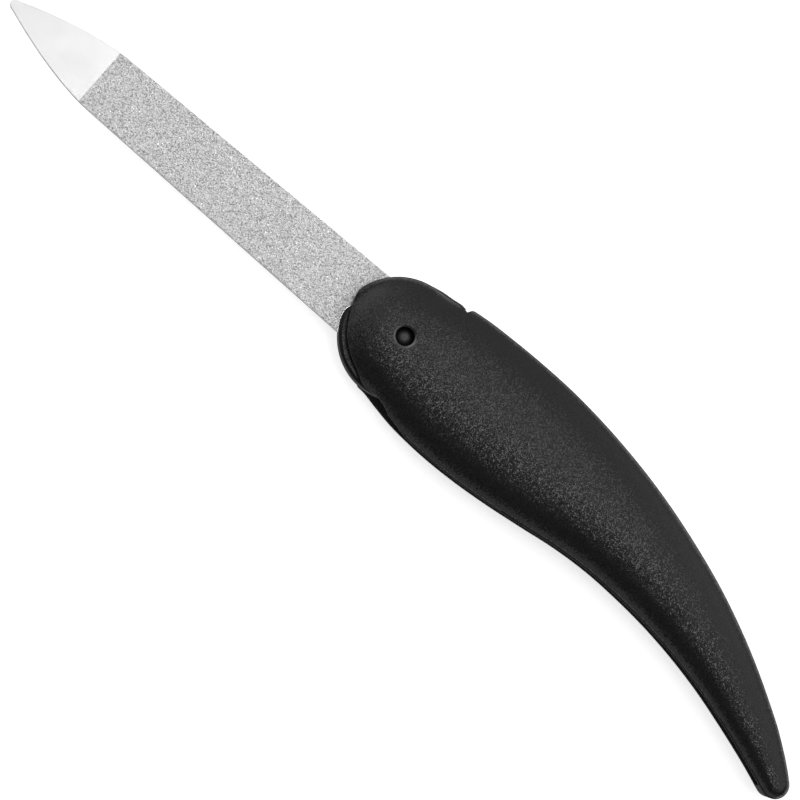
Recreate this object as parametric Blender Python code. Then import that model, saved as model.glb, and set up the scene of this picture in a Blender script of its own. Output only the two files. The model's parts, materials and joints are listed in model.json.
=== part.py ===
"""A folding nail file with a curved two-cover handle, lying open on its back cover.

Metres, +Z up. Every outline is drawn round the pivot: +X runs along the open blade to its
point, +Y runs to the open side of the handle, where the blade folds in.
"""
import math

import bmesh
import bpy
from mathutils import Vector
from mathutils.geometry import interpolate_bezier

MM = 0.001

# Steel blade
BLADE_REACH = 77.75 * MM
BLADE_THICKNESS = 0.9 * MM
BLADE_ROOT_WIDTH = 11.7 * MM
BLADE_FRONT_WIDTH = 9.9 * MM
BLADE_EDGE_BREAK = 0.1 * MM
BARE_LENGTH = 17.5 * MM
POINT_LENGTH = 19.1 * MM
POINT_NOSE_RADIUS = 0.8 * MM
POINT_NOSE_TURN = math.radians(72.0)
POINT_POWER = 1.6
TANG_WIDTH = 8.6 * MM
TANG_END_SHARE = 0.25
TANG_SHOULDER = 5.2 * MM
TANG_BUSH_HOLE_RADIUS = 2.6 * MM
TANG_LOCK_HOLE_RADIUS = 0.8 * MM

# Abrasive layer on each face
COAT_THICKNESS = 0.12 * MM
COAT_LIFT = 0.02 * MM
COAT_SIDE_MARGIN = 0.06 * MM
COAT_HUB_GAP = 0.05 * MM

# Pivot pin and its bores
PIN_RADIUS = 1.42 * MM
PIN_RECESS = 1.6 * MM
PIN_DOME_HEIGHT = 0.45 * MM
PIN_FLAT_RADIUS = 0.35 * MM
PIN_FIXED_GAP = 0.03 * MM
PIN_RUNNING_GAP = 0.06 * MM
PIVOT_MOUTH_ROUND = 0.35 * MM

# Moulded hub that carries the blade
HUB_RADIUS = 9.9 * MM
HUB_SIDE_GAP = 0.1 * MM
HUB_RIM_ROUND = 0.6 * MM
HUB_HEAD_INSET = 0.07 * MM
HUB_FLANK_START = math.radians(-66.0)
HUB_FLANK_END = math.radians(-16.0)
HUB_OPEN_START = math.radians(24.0)
HUB_TAIL_RISE = 0.6 * MM
HUB_TAIL_ANGLE = math.radians(244.6)
HUB_TAIL_ROUND = 0.2 * MM
HUB_TAIL_BLEND_SHARE = 0.3
POCKET_GAP = 0.05 * MM
POST_GAP = 0.05 * MM

# Handle, seen from the front: its length follows the folded blade, its width the hub
TAIL_LENGTH = 11.4 * MM
HANDLE_REACH = BLADE_REACH + TAIL_LENGTH
HANDLE_SWELL = 1.25 * MM
HANDLE_WIDTH = 2 * (HUB_RADIUS + HANDLE_SWELL)
HEAD_RADIUS = HUB_RADIUS
HEAD_CENTRE_SHARES = (0.013, 0.112)
HEAD_CENTRE = Vector(HEAD_CENTRE_SHARES) * HEAD_RADIUS
HEAD_LIP = 0.05 * MM
HEAD_SPINE_END = math.radians(-86.0)
HEAD_SPINE_START = math.radians(-8.0)
HEAD_OPEN_START = math.radians(3.0)
HEAD_OPEN_END = math.radians(88.0)
TAIL_RADIUS = 2.2 * MM
TAIL_START_ANGLE = math.radians(228.0)
TAIL_END_ANGLE = math.radians(72.0)

# Corner where the hub's rim comes out from under the covers: share of its radius, angle in degrees
HUB_CORNER_SHARES = ((0.950, 0.5), (0.922, 6.0), (0.945, 10.0), (0.978, 14.0), (0.996, 19.0))

# Edge that stands out of the covers from the hub's tail to its flank: share of its radius, angle
HUB_TAIL_EDGE_SHARES = ((1.038, 249.6), (0.972, 258.3), (0.935, 268.5), (0.917, 275.7), (0.907, 282.5))

# Points of the two long sides, as shares of the handle's reach and width
SPINE_SHARES = (
    (0.022, -0.406), (0.048, -0.432), (0.060, -0.446), (0.086, -0.460), (0.120, -0.470), (0.202, -0.479),
    (0.291, -0.470), (0.394, -0.425), (0.497, -0.348), (0.599, -0.237), (0.702, -0.092), (0.804, 0.096),
    (0.907, 0.332), (0.952, 0.458), (0.978, 0.541),
)
BELLY_SHARES = (
    (0.012, 0.449), (0.041, 0.473), (0.088, 0.504), (0.157, 0.519), (0.225, 0.511), (0.293, 0.486),
    (0.362, 0.449), (0.431, 0.409), (0.500, 0.390), (0.569, 0.396), (0.637, 0.417), (0.706, 0.457),
    (0.775, 0.515), (0.844, 0.592), (0.913, 0.679),
)
TAIL_HEIGHT_SHARE = 0.664

# Handle, across its thickness
SLOT_WIDTH = 3.0 * MM
HANDLE_THICKNESS = 9.0 * MM
TAIL_THICKNESS = 6.6 * MM
TAPER_START_SHARE = 0.45
CROWN_POWER = 2.2
EDGE_ROUND = 0.3 * MM
REST_LAND_DEPTH = 0.1 * MM
SEAM_GAP = 0.05 * MM

# Set-back of the covers that leaves the hub's rim free: share of the hub's radius, angle in degrees
RIM_EDGE_SHARES = (
    (1.03, -16.0), (1.000, -10.5), (0.990, -5.5), (0.966, 1.5), (0.924, 9.0), (0.900, 18.0),
    (0.880, 28.0), (0.870, 40.0), (0.862, 54.0), (0.864, 66.0), (0.877, 75.0), (0.910, 82.0),
)
FRONT_RIM_END_SHARES = (
    (0.938, 86.0), (0.962, 91.0), (0.971, 97.0), (0.986, 103.5), (1.02, 109.0), (1.09, 114.0), (1.20, 119.0),
)
BACK_RIM_END_SHARES = ((0.945, 84.5), (0.985, 87.0), (1.03, 90.0), (1.15, 95.0))

# Notch behind the hub's tail: its front edge as share of the hub's radius and angle in degrees,
# its shoulder along and up from the foot as shares of the shoulder's height
STOP_GAP = 0.08 * MM
NOTCH_LENGTH = 0.5 * MM
NOTCH_FLOOR_LIFT = 0.35 * MM
NOTCH_FRONT_SHARES = ((0.966, 261.0), (0.940, 257.6), (0.970, 252.5), (0.999, 248.0), (1.028, 244.8))
SHOULDER_HEIGHT = 1.0 * MM
SHOULDER_SHARES = ((0.00, 0.00), (0.02, 0.38), (0.06, 0.76), (0.17, 1.02), (0.36, 1.22), (0.75, 1.65))

# Spine between the covers
SPINE_WALL = 2.0 * MM
SEAT_GAP = 0.15 * MM
SEAT_SWEEP = math.radians(26.0)
SEAT_BLEND_SHARE = 0.165
SLOT_END_SHARE = 0.985
BOSS_RADIUS = 1.8 * MM
BOSS_SHARES = (0.17, 0.40, 0.61)
BLADE_SLOT_GAP = 0.25 * MM
FOLD_ANGLE = math.radians(174.5)

# Pegs that join the covers to the spine
PEG_RADIUS = 0.65 * MM
PEG_END_GAP = 0.15 * MM
PEG_LENGTH = SLOT_WIDTH / 2 - PEG_END_GAP
PEG_GAP = 0.05 * MM

# Finger relief in the front cover's open edge
RELIEF_DEPTH = 0.40 * MM
RELIEF_LENGTH = 15.0 * MM
RELIEF_PLACE_SHARE = 0.070

OVERRUN = 1.0 * MM

# Facets of curves and angles of the finish
HEAD_STEPS = 18
SIDE_STEPS = 48
TAIL_STEPS = 10
EDGE_STEPS = 2
CROWN_STEPS = 10
CURVE_STEPS = 8
FLANK_STEPS = 16
CORNER_STEPS = 3
ROUND_STEPS = 36
HUB_STEPS = 64
HUB_ROUND_STEPS = 3
SMOOTH_ANGLE = math.radians(32.0)
BEVEL_ANGLE = math.radians(50.0)
ORIGIN = Vector((0.0, 0.0))


def clear_scene():
    for item in list(bpy.data.objects):
        bpy.data.objects.remove(item, do_unlink=True)


def make_material(name, colour, roughness, metallic=0.0):
    material = bpy.data.materials.new(name)
    material.use_nodes = True
    shader = material.node_tree.nodes["Principled BSDF"]
    shader.inputs["Base Color"].default_value = (*colour, 1.0)
    shader.inputs["Roughness"].default_value = roughness
    shader.inputs["Metallic"].default_value = metallic
    material.diffuse_color = (*colour, 1.0)
    return material


def polar(radius, angle, centre=ORIGIN):
    return centre + Vector((math.cos(angle), math.sin(angle))) * radius


def arc(radius, start, end, steps, centre=ORIGIN):
    """Points along a round stretch, from one angle to another."""
    return [polar(radius, start + (end - start) * i / steps, centre) for i in range(steps + 1)]


def quarter_turn(steps):
    """The cosine and sine at each step from nought to a right angle."""
    turns = [math.pi / 2 * i / steps for i in range(steps + 1)]
    return [(math.cos(turn), math.sin(turn)) for turn in turns]


def smooth_through(points, steps=CURVE_STEPS):
    """A curve through the points, its tangents set by the neighbours."""
    tangents = []
    for i, point in enumerate(points):
        before = points[max(i - 1, 0)]
        after = points[min(i + 1, len(points) - 1)]
        tangents.append((after - before).normalized())
    curve = [points[0]]
    for i in range(len(points) - 1):
        handle = (points[i + 1] - points[i]).length / 3
        bends = interpolate_bezier(points[i], points[i] + tangents[i] * handle,
                                   points[i + 1] - tangents[i + 1] * handle, points[i + 1], steps)
        curve += [Vector(bend[:2]) for bend in bends[1:]]
    return curve


def running_shares(points):
    """How far along the line each point lies, from 0 to 1."""
    lengths = [0.0]
    for before, after in zip(points, points[1:]):
        lengths.append(lengths[-1] + (after - before).length)
    return [length / lengths[-1] for length in lengths]


def sample(points, shares):
    """The points that lie at the given shares of the line's length."""
    along = running_shares(points)
    picked = []
    i = 0
    for share in shares:
        while i < len(points) - 2 and along[i + 1] < share:
            i += 1
        part = (share - along[i]) / (along[i + 1] - along[i])
        picked.append(points[i].lerp(points[i + 1], part))
    return picked


def place(share_pair):
    return Vector((-share_pair[0] * HANDLE_REACH, share_pair[1] * HANDLE_WIDTH))


def tail_centre():
    return Vector((TAIL_RADIUS - HANDLE_REACH, TAIL_HEIGHT_SHARE * HANDLE_WIDTH))


def spine_side():
    """From the head's arc to the tail's arc along the closed side."""
    head = polar(HEAD_RADIUS, HEAD_SPINE_END, HEAD_CENTRE)
    tail = polar(TAIL_RADIUS, TAIL_START_ANGLE, tail_centre())
    return smooth_through([head] + [place(pair) for pair in SPINE_SHARES] + [tail])


def belly_side():
    """From the head's arc to the tail's arc along the open side."""
    head = polar(HUB_RADIUS + HEAD_LIP, HEAD_OPEN_END)
    tail = polar(TAIL_RADIUS, TAIL_END_ANGLE, tail_centre())
    return smooth_through([head] + [place(pair) for pair in BELLY_SHARES] + [tail])


def head_round():
    """The head's edge, from the open side round to the closed side."""
    open_part = arc(HUB_RADIUS + HEAD_LIP, HEAD_OPEN_END, HEAD_OPEN_START, HEAD_STEPS)
    return open_part + arc(HEAD_RADIUS, HEAD_SPINE_START, HEAD_SPINE_END, HEAD_STEPS, HEAD_CENTRE)


class Outline:
    """The handle's outline, with the point of its middle line that each point leans to."""

    def __init__(self):
        self.shares = [i / SIDE_STEPS for i in range(SIDE_STEPS + 1)]
        self.spine = sample(spine_side(), self.shares)
        self.belly = sample(belly_side(), self.shares)
        self.middle = [a.lerp(b, 1 / 2) for a, b in zip(self.spine, self.belly)]
        self.tail = arc(TAIL_RADIUS, TAIL_START_ANGLE, TAIL_END_ANGLE, TAIL_STEPS, tail_centre())
        self.points = []
        self.feet = []
        self.add(self.spine, range(SIDE_STEPS + 1))
        self.add(self.tail[1:-1], [SIDE_STEPS] * (TAIL_STEPS - 1))
        self.add(self.belly[::-1], range(SIDE_STEPS, -1, -1))
        head = head_round()[1:-1]
        self.add(head, [0] * len(head))

    def add(self, points, feet):
        self.points += list(points)
        self.feet += list(feet)

    def index_at(self, share):
        return round(share * SIDE_STEPS)

    def square_to(self, side, i):
        """The direction square to a side at its point i, towards the handle's open side."""
        run = (side[min(i + 1, SIDE_STEPS)] - side[max(i - 1, 0)]).normalized()
        return Vector((run.y, -run.x))


def half_thickness(share):
    """Half the handle's thickness along its length: level first, then thinner to the tail."""
    part = max(share - TAPER_START_SHARE, 0.0) / (1.0 - TAPER_START_SHARE)
    ease = part * part * (3.0 - 2.0 * part)
    return (HANDLE_THICKNESS + (TAIL_THICKNESS - HANDLE_THICKNESS) * ease) / 2


def finish_mesh(name, build, material, parent):
    """Turn a bmesh into a named object with outward faces and smooth round stretches."""
    bmesh.ops.recalc_face_normals(build, faces=build.faces)
    mesh = bpy.data.meshes.new(name)
    build.to_mesh(mesh)
    build.free()
    mesh.shade_smooth()
    mesh.set_sharp_from_angle(angle=SMOOTH_ANGLE)
    item = bpy.data.objects.new(name, mesh)
    if material:
        mesh.materials.append(material)
    item.parent = parent
    bpy.context.scene.collection.objects.link(item)
    return item


def bridge(build, rings):
    """Faces from each ring to the next; a ring may be one point or repeat its points."""
    for lower, upper in zip(rings, rings[1:]):
        count = max(len(lower), len(upper))
        for i in range(count):
            j = (i + 1) % count
            corners = [ring[k % len(ring)] for ring, k in ((lower, i), (lower, j), (upper, j), (upper, i))]
            build.faces.new(list(dict.fromkeys(corners)))


def prism(name, outline, low, high, material=None, parent=None):
    """A plate of the given outline between two heights."""
    build = bmesh.new()
    floor = [build.verts.new((point.x, point.y, low)) for point in outline]
    roof = [build.verts.new((point.x, point.y, high)) for point in outline]
    bridge(build, [floor, roof])
    build.faces.new(floor)
    build.faces.new(roof)
    return finish_mesh(name, build, material, parent)


def inset(outline, lengths):
    """The anticlockwise outline moved inwards, by its own length at each point."""
    moved = []
    for i, point in enumerate(outline):
        before = (point - outline[i - 1]).normalized()
        after = (outline[(i + 1) % len(outline)] - point).normalized()
        lean = Vector((-before.y - after.y, before.x + after.x))
        moved.append(point + lean * lengths[i] / (1.0 + before.dot(after)))
    return moved


def rounded_plate(name, outline, half, rounds, steps, material, parent):
    """A plate whose rims are rounded, by its own length at each point."""
    turns = quarter_turn(steps)
    levels = [(1.0 - cosine, 1.0 - sine, -1.0) for cosine, sine in reversed(turns)]
    levels += [(1.0 - cosine, 1.0 - sine, 1.0) for cosine, sine in turns]
    build = bmesh.new()
    rings = []
    for lean, drop, side in levels:
        flat = inset(outline, [lean * length for length in rounds])
        rings.append([build.verts.new((point.x, point.y, side * (half - drop * length)))
                      for point, length in zip(flat, rounds)])
    bridge(build, rings)
    build.faces.new(rings[0])
    build.faces.new(rings[-1])
    return finish_mesh(name, build, material, parent)


def rod(name, centre, radius, low, high, parent=None):
    return prism(name, arc(radius, 0.0, math.tau, ROUND_STEPS, centre)[:-1], low, high, None, parent)


def turned(name, profile, material=None, parent=None):
    """A solid of revolution round the pivot; the profile runs from axis to axis."""
    build = bmesh.new()
    rings = []
    for radius, height in profile:
        if radius == 0.0:
            rings.append([build.verts.new((0.0, 0.0, height))])
            continue
        circle = arc(radius, 0.0, math.tau, ROUND_STEPS)[:-1]
        rings.append([build.verts.new((point.x, point.y, height)) for point in circle])
    bridge(build, rings)
    return finish_mesh(name, build, material, parent)


def shape_with(item, tool, operation):
    """Cut the tool from the item, or fuse it on, and keep the tool as a hidden guide."""
    boolean = item.modifiers.new(tool.name, "BOOLEAN")
    boolean.operation = operation
    boolean.solver = "EXACT"
    boolean.object = tool
    tool.hide_render = True
    tool.display_type = "WIRE"


def break_edges(item, width):
    bevel = item.modifiers.new("edges", "BEVEL")
    bevel.width = width
    bevel.segments = 1
    bevel.limit_method = "ANGLE"
    bevel.angle_limit = BEVEL_ANGLE


def cover_shell(name, outline, face, land_depth, material, parent):
    """One cover: a flat inner face at the slot and a crowned outside.

    face is 1 for the front cover and -1 for the back one.
    """
    inner = SLOT_WIDTH / 2
    shoulder = inner + EDGE_ROUND
    crown_limit = HANDLE_THICKNESS / 2 - land_depth
    build = bmesh.new()

    def ring(lean, inset, rise, base):
        verts = []
        for point, foot in zip(outline.points, outline.feet):
            middle = outline.middle[foot]
            flat = point.lerp(middle, lean + inset / (point - middle).length)
            height = base + (half_thickness(outline.shares[foot]) - shoulder) * rise
            verts.append(build.verts.new((flat.x, flat.y, face * min(height, crown_limit))))
        return verts

    rings = []
    for cosine, sine in quarter_turn(EDGE_STEPS)[:-1]:
        rings.append(ring(0.0, EDGE_ROUND * (1.0 - sine), 0.0, inner + EDGE_ROUND * (1.0 - cosine)))
    for cosine, sine in quarter_turn(CROWN_STEPS)[:-1]:
        rings.append(ring(1.0 - cosine ** (2.0 / CROWN_POWER), 0.0, sine ** (2.0 / CROWN_POWER), shoulder))
    ridge = []
    for middle, share in zip(outline.middle, outline.shares):
        height = min(half_thickness(share), crown_limit)
        ridge.append(build.verts.new((middle.x, middle.y, face * height)))
    rings.append([ridge[foot] for foot in outline.feet])
    bridge(build, rings)
    build.faces.new(rings[0])
    return finish_mesh(name, build, material, parent)


def rim_tool(name, end_shares, parent):
    """Takes a cover back from the hub's rim between the blade and the open side."""
    shares = RIM_EDGE_SHARES + end_shares
    edge = smooth_through([polar(share * HUB_RADIUS, math.radians(degrees)) for share, degrees in shares])
    first, last = (math.radians(shares[i][1]) for i in (0, -1))
    outer = arc(HUB_RADIUS + HANDLE_THICKNESS, last, first, CURVE_STEPS)
    return prism(name, edge + outer, -HANDLE_THICKNESS, HANDLE_THICKNESS, None, parent)


def notch_tool(parent):
    """Takes covers and spine back beside the hub's tail, as far as the shoulder behind it."""
    outward = polar(1.0, HUB_TAIL_ANGLE)
    backward = Vector((outward.y, -outward.x))
    front = [polar(share * HUB_RADIUS, math.radians(degrees)) for share, degrees in NOTCH_FRONT_SHARES]
    foot = outward * (HUB_RADIUS + NOTCH_FLOOR_LIFT) + backward * NOTCH_LENGTH
    shoulder = [foot + (backward * along + outward * up) * SHOULDER_HEIGHT for along, up in SHOULDER_SHARES]
    shape = front + shoulder + [shoulder[-1] + outward * OVERRUN, front[0] + outward * OVERRUN * 2]
    return prism("notch_tool", shape, -HANDLE_THICKNESS, HANDLE_THICKNESS, None, parent)


def peg_places(outline):
    """Three places behind the folded blade and one in the tail."""
    places = []
    for share in BOSS_SHARES:
        i = outline.index_at(share)
        places.append(outline.spine[i] + outline.square_to(outline.spine, i) * (BOSS_RADIUS + SEAM_GAP))
    return places + [tail_centre()]


def pivot_hole(name, face, parent):
    """The bore for the pin, with a rounded mouth on the outside."""
    bore = PIN_RADIUS + PIN_FIXED_GAP
    top = HANDLE_THICKNESS / 2
    profile = [(0.0, 0.0), (bore, 0.0)]
    for cosine, sine in quarter_turn(CURVE_STEPS // 2):
        radius = bore + PIVOT_MOUTH_ROUND * (1.0 - cosine)
        profile.append((radius, top - PIVOT_MOUTH_ROUND * (1.0 - sine)))
    profile += [(bore + PIVOT_MOUTH_ROUND, top + OVERRUN), (0.0, top + OVERRUN)]
    return turned(name, [(radius, face * height) for radius, height in profile], None, parent)


def finger_relief(outline, parent):
    """The long shallow arc taken out of the front cover's open edge."""
    radius = RELIEF_LENGTH ** 2 / (8.0 * RELIEF_DEPTH)
    i = outline.index_at(RELIEF_PLACE_SHARE)
    outward = outline.square_to(outline.belly, i)
    centre = outline.belly[i] + outward * (radius - RELIEF_DEPTH)
    facing = math.atan2(-outward.y, -outward.x)
    half_angle = RELIEF_LENGTH / radius
    shape = arc(radius, facing - half_angle, facing + half_angle, 2 * CURVE_STEPS, centre)
    shape += [shape[-1] + outward * RELIEF_LENGTH, shape[0] + outward * RELIEF_LENGTH]
    return prism("relief_tool", shape, 0.0, HANDLE_THICKNESS, None, parent)


def make_cover(name, outline, face, land_depth, tools, material, parent):
    cover = cover_shell(name, outline, face, land_depth, material, parent)
    for tool in tools:
        shape_with(cover, tool, "DIFFERENCE")
    shape_with(cover, pivot_hole(name + "_bore_tool", face, parent), "DIFFERENCE")
    inner = face * SLOT_WIDTH / 2
    for number, centre in enumerate(peg_places(outline), 1):
        ends = sorted((inner + face * OVERRUN, inner - face * PEG_LENGTH))
        peg = rod(f"{name}_peg_{number}_tool", centre, PEG_RADIUS, ends[0], ends[1], parent)
        shape_with(cover, peg, "UNION")
    return cover


def blade_half_width(x):
    """Half the blade's width between its shoulder and the centre of its nose."""
    root, front = BLADE_ROOT_WIDTH / 2, BLADE_FRONT_WIDTH / 2
    taper_x = BLADE_REACH - POINT_LENGTH
    if x < taper_x:
        return root + (front - root) * (x - TANG_SHOULDER) / (taper_x - TANG_SHOULDER)
    share = (x - taper_x) / (POINT_LENGTH - POINT_NOSE_RADIUS)
    return POINT_NOSE_RADIUS + (front - POINT_NOSE_RADIUS) * (1.0 - share ** POINT_POWER)


def blade_outline(extra=0.0):
    """The blade with its tang, grown by the given length all round."""
    tang = TANG_WIDTH / 2 + extra
    nose_centre = Vector((BLADE_REACH - POINT_NOSE_RADIUS, 0.0))
    shoulder = TANG_SHOULDER - extra
    upper = [Vector((shoulder, blade_half_width(shoulder) + extra))]
    for i in range(CURVE_STEPS + 1):
        x = nose_centre.x - (POINT_LENGTH - POINT_NOSE_RADIUS) * (1.0 - i / CURVE_STEPS)
        upper.append(Vector((x, blade_half_width(x) + extra)))
    nose_arc = arc(POINT_NOSE_RADIUS + extra, POINT_NOSE_TURN, -POINT_NOSE_TURN, CURVE_STEPS, nose_centre)
    lower = [Vector((point.x, -point.y)) for point in reversed(upper[:-1])]
    end_centre = Vector((-tang * TANG_END_SHARE, 0.0))
    end = arc(tang, math.pi * 3 / 2, math.pi / 2, CURVE_STEPS * 2, end_centre)
    return ([Vector((shoulder, tang))] + upper[:-1] + nose_arc + lower
            + [Vector((shoulder, -tang))] + end)


def lock_hole_centre():
    return Vector(((TANG_BUSH_HOLE_RADIUS + TANG_SHOULDER + TANG_LOCK_HOLE_RADIUS) / 2, 0.0))


def make_blade(material, parent):
    half = BLADE_THICKNESS / 2
    blade = prism("file_blade", blade_outline(), -half, half, material, parent)
    break_edges(blade, BLADE_EDGE_BREAK)
    for name, centre, radius in (
        ("tang_bush_tool", ORIGIN, TANG_BUSH_HOLE_RADIUS),
        ("tang_lock_tool", lock_hole_centre(), TANG_LOCK_HOLE_RADIUS),
    ):
        hole = rod(name, centre, radius, -BLADE_THICKNESS, BLADE_THICKNESS, parent)
        shape_with(blade, hole, "DIFFERENCE")
    return blade


def hub_tail():
    return polar(HUB_RADIUS + HUB_TAIL_RISE, HUB_TAIL_ANGLE)


def hub_outline(gap=0.0):
    """A round hub: its flank follows the head, a corner starts its free rim, its tail is the stop."""
    head_radius = HEAD_RADIUS - HUB_HEAD_INSET + gap
    flank = arc(head_radius, HUB_FLANK_START, HUB_FLANK_END, FLANK_STEPS, HEAD_CENTRE)
    body = arc(HUB_RADIUS + gap, HUB_OPEN_START, HUB_TAIL_ANGLE, HUB_STEPS)
    corner = [polar(share * HUB_RADIUS + gap, math.radians(degrees)) for share, degrees in HUB_CORNER_SHARES]
    front = smooth_through([flank[-1]] + corner + [body[0]], CORNER_STEPS)
    edge = [polar(share * HUB_RADIUS, math.radians(degrees)) for share, degrees in HUB_TAIL_EDGE_SHARES]
    return flank + front[1:-1] + body + smooth_through([hub_tail()] + edge + [flank[0]], CORNER_STEPS)[:-1]


def make_coat(name, face, material, parent):
    """The abrasive on one face, from the hub's edge to the bare point."""
    front_x = BLADE_REACH - BARE_LENGTH
    front_half = blade_half_width(front_x) - COAT_SIDE_MARGIN
    taper_x = BLADE_REACH - POINT_LENGTH
    taper_half = blade_half_width(taper_x) - COAT_SIDE_MARGIN
    edge = [point for point in hub_outline(COAT_HUB_GAP)
            if point.x > 0.0 and abs(point.y) < blade_half_width(point.x) - COAT_SIDE_MARGIN]
    low = Vector((edge[0].x, COAT_SIDE_MARGIN - blade_half_width(edge[0].x)))
    high = Vector((edge[-1].x, blade_half_width(edge[-1].x) - COAT_SIDE_MARGIN))
    outline = [low] + edge + [high, Vector((taper_x, taper_half)), Vector((front_x, front_half)),
                              Vector((front_x, -front_half)), Vector((taper_x, -taper_half))]
    near = BLADE_THICKNESS / 2 + COAT_LIFT
    heights = sorted((face * near, face * (near + COAT_THICKNESS)))
    return prism(name, outline, heights[0], heights[1], material, parent)


def make_hub(material, parent):
    """The moulding round the tang, with a bush through it for the pin."""
    half = SLOT_WIDTH / 2 - HUB_SIDE_GAP
    pocket_half = BLADE_THICKNESS / 2 + POCKET_GAP
    core = (half + pocket_half) / 2
    outline = hub_outline()
    rounds = [min(HUB_RIM_ROUND, HUB_TAIL_ROUND + (point - hub_tail()).length * HUB_TAIL_BLEND_SHARE)
              for point in outline]
    hub = rounded_plate("blade_hub", outline, half, rounds, HUB_ROUND_STEPS, material, parent)
    pocket = prism("pocket_tool", blade_outline(POCKET_GAP), -pocket_half, pocket_half, None, parent)
    shape_with(hub, pocket, "DIFFERENCE")
    bush = rod("bush_tool", ORIGIN, TANG_BUSH_HOLE_RADIUS - POST_GAP, -core, core, parent)
    shape_with(hub, bush, "UNION")
    post = rod("post_tool", lock_hole_centre(), TANG_LOCK_HOLE_RADIUS - POST_GAP, -core, core, parent)
    shape_with(hub, post, "UNION")
    bore = rod("hub_bore_tool", ORIGIN, PIN_RADIUS + PIN_RUNNING_GAP, -SLOT_WIDTH, SLOT_WIDTH, parent)
    shape_with(hub, bore, "DIFFERENCE")
    return hub


def spine_outline(outline):
    """The strip behind the slot: seat for the hub, wall along the spine, block in the tail."""
    seat_radius = HUB_RADIUS + SEAT_GAP
    stop_angle = HUB_TAIL_ANGLE - STOP_GAP / seat_radius
    stop = polar(seat_radius + OVERRUN, stop_angle)
    start = next(i for i, point in enumerate(outline.spine) if point.x < stop.x)
    end = outline.index_at(SLOT_END_SHARE)
    blend = outline.index_at(SEAT_BLEND_SHARE)
    outer = [stop] + outline.spine[start:] + outline.tail[1:-1] + outline.belly[:end - 1:-1]
    wall = [outline.spine[i] + outline.square_to(outline.spine, i) * SPINE_WALL
            for i in range(end, blend - 1, -1)]
    seat = arc(seat_radius, HUB_TAIL_ANGLE - SEAT_SWEEP, stop_angle, CURVE_STEPS)
    return outer + wall + seat


def make_spine(outline, notch, material, parent):
    half = SLOT_WIDTH / 2 - SEAM_GAP
    spine = prism("spine_spacer", spine_outline(outline), -half, half, material, parent)
    shape_with(spine, notch, "DIFFERENCE")
    places = peg_places(outline)
    for number, centre in enumerate(places[:-1], 1):
        boss = rod(f"boss_{number}_tool", centre, BOSS_RADIUS, -half, half, parent)
        shape_with(spine, boss, "UNION")
    folded = [polar(point.length, math.atan2(point.y, point.x) + FOLD_ANGLE)
              for point in blade_outline(BLADE_SLOT_GAP)]
    blade_slot = prism("folded_blade_tool", folded, -SLOT_WIDTH, SLOT_WIDTH, None, parent)
    shape_with(spine, blade_slot, "DIFFERENCE")
    for number, centre in enumerate(places, 1):
        hole = rod(f"peg_hole_{number}_tool", centre, PEG_RADIUS + PEG_GAP, -SLOT_WIDTH, SLOT_WIDTH, parent)
        shape_with(spine, hole, "DIFFERENCE")
    return spine


def make_pin(material, parent):
    """A plain pin with domed ends, sunk below both covers."""
    end = HANDLE_THICKNESS / 2 - PIN_RECESS
    rim = end - PIN_DOME_HEIGHT
    dome = []
    for cosine, sine in quarter_turn(CURVE_STEPS // 2):
        radius = PIN_FLAT_RADIUS + (PIN_RADIUS - PIN_FLAT_RADIUS) * cosine
        dome.append((radius, rim + PIN_DOME_HEIGHT * sine))
    low = [(radius, -height) for radius, height in reversed(dome)]
    return turned("pivot_pin", [(0.0, -end)] + low + dome + [(0.0, end)], material, parent)


def pivot_place(outline):
    """Where the pivot lies when the part's origin is the middle of its footprint."""
    left = min(point.x for point in outline.points)
    low = min(point.y for point in outline.points)
    high = max(point.y for point in outline.points)
    lift = HANDLE_THICKNESS / 2 - REST_LAND_DEPTH
    return Vector((-(BLADE_REACH + left) / 2, -(low + high) / 2, lift))


def make_frame(name, place_of_pivot):
    frame = bpy.data.objects.new(name, None)
    frame.location = place_of_pivot
    bpy.context.scene.collection.objects.link(frame)
    return frame


def main():
    clear_scene()
    outline = Outline()
    pivot = pivot_place(outline)
    handle = make_frame("handle_frame", pivot)
    swing = make_frame("fold_axis", pivot)
    black = make_material("black_plastic", (0.021, 0.021, 0.022), 0.42)
    dark = make_material("black_hub_plastic", (0.018, 0.018, 0.019), 0.38)
    steel = make_material("polished_steel", (0.80, 0.81, 0.82), 0.16, 1.0)
    grit = make_material("sapphire_grit", (0.56, 0.57, 0.58), 0.55)
    pin_metal = make_material("blackened_pin", (0.035, 0.035, 0.037), 0.35)
    notch = notch_tool(handle)
    front_tools = (rim_tool("front_rim_tool", FRONT_RIM_END_SHARES, handle), notch,
                   finger_relief(outline, handle))
    back_tools = (rim_tool("back_rim_tool", BACK_RIM_END_SHARES, handle), notch)
    make_cover("front_cover", outline, 1.0, 0.0, front_tools, black, handle)
    make_cover("back_cover", outline, -1.0, REST_LAND_DEPTH, back_tools, black, handle)
    make_spine(outline, notch, black, handle)
    make_pin(pin_metal, handle)
    make_hub(dark, swing)
    make_blade(steel, swing)
    make_coat("abrasive_front", 1.0, grit, swing)
    make_coat("abrasive_back", -1.0, grit, swing)


main()
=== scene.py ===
"""The looks of the folding nail file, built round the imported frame.

Every outline is drawn round the pivot, as in the construction: +X along the open blade to its
point, +Y to the open side of the handle, +Z up out of the front cover.
"""
import json
import math

import bmesh
import bpy
import numpy as np
from mathutils import Matrix, Vector
from mathutils.geometry import interpolate_bezier

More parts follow.
